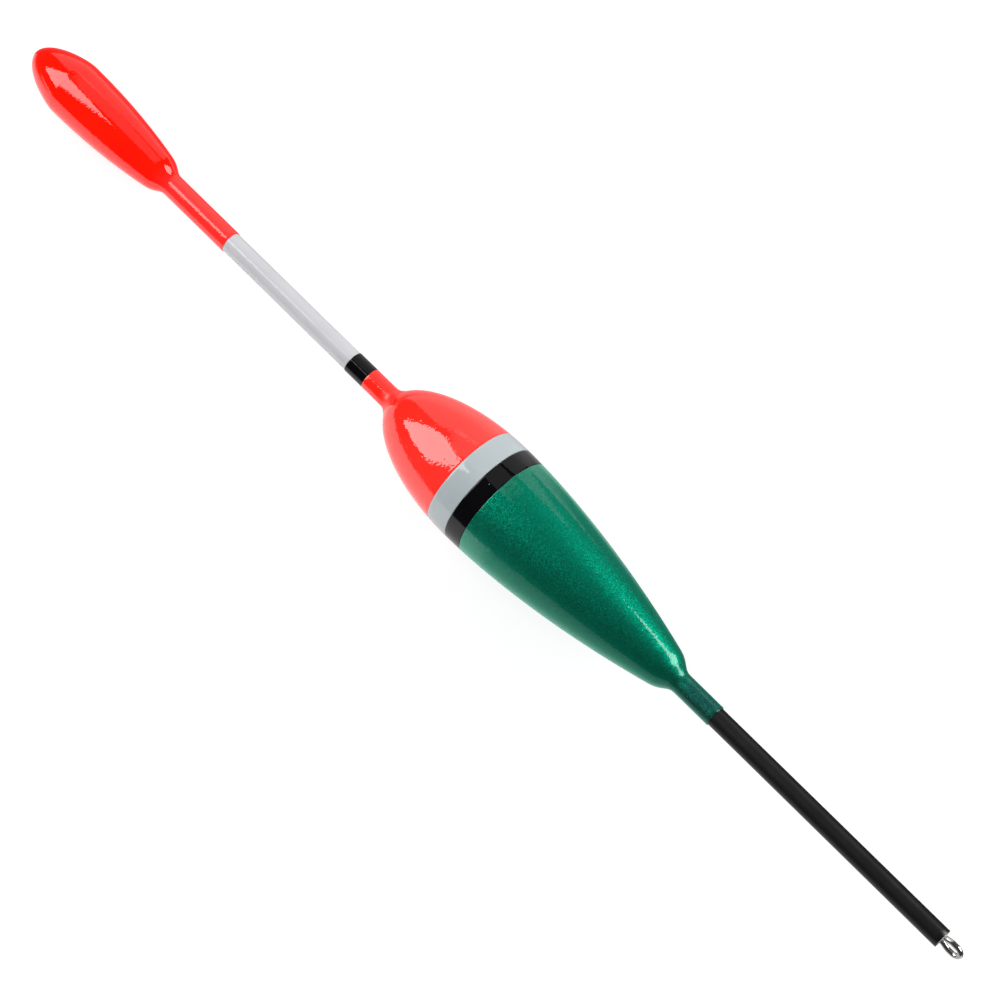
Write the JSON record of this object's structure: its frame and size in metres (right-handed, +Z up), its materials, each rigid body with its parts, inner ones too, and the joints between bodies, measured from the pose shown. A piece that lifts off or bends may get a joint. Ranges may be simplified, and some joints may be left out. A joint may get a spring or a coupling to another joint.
{
  "type": "fishing float",
  "caption": "Slim fishing float with a lacquered spindle body, a banded antenna that ends in a sight bulb, and a long keel with a wire line eye.",
  "frame": {"origin": "centre of the bounding box at its bottom, on the level surface that the float lies on", "axes": "+X along the float from the keel's line eye towards the sight bulb, +Z up from the surface; the float's own axis drops 2.44 degrees towards +X, because the body and the thinner bulb both touch the surface"},
  "size_m": [0.18, 0.016, 0.016],
  "materials": {
    "red_lacquer": "gloss",
    "white_lacquer": "gloss",
    "black_lacquer": "gloss",
    "green_lacquer": "gloss",
    "white_plastic": "satin",
    "black_coat": "satin",
    "light_wood": "matte",
    "white_glue": "matte",
    "steel_wire": "polished"
  },
  "bodies": {
    "root": {"red_bulb_coat": "red_lacquer", "bulb_core": "light_wood", "antenna_tube": "white_plastic", "black_antenna_ring": "black_lacquer", "red_body_coat": "red_lacquer", "white_body_band": "white_lacquer", "black_body_band": "black_lacquer", "green_body_coat": "green_lacquer", "body_core": "light_wood", "keel_tube": "white_plastic", "keel_coat": "black_coat", "eye_plug": "white_glue", "line_eye": "steel_wire"}
  },
  "joints": []
}
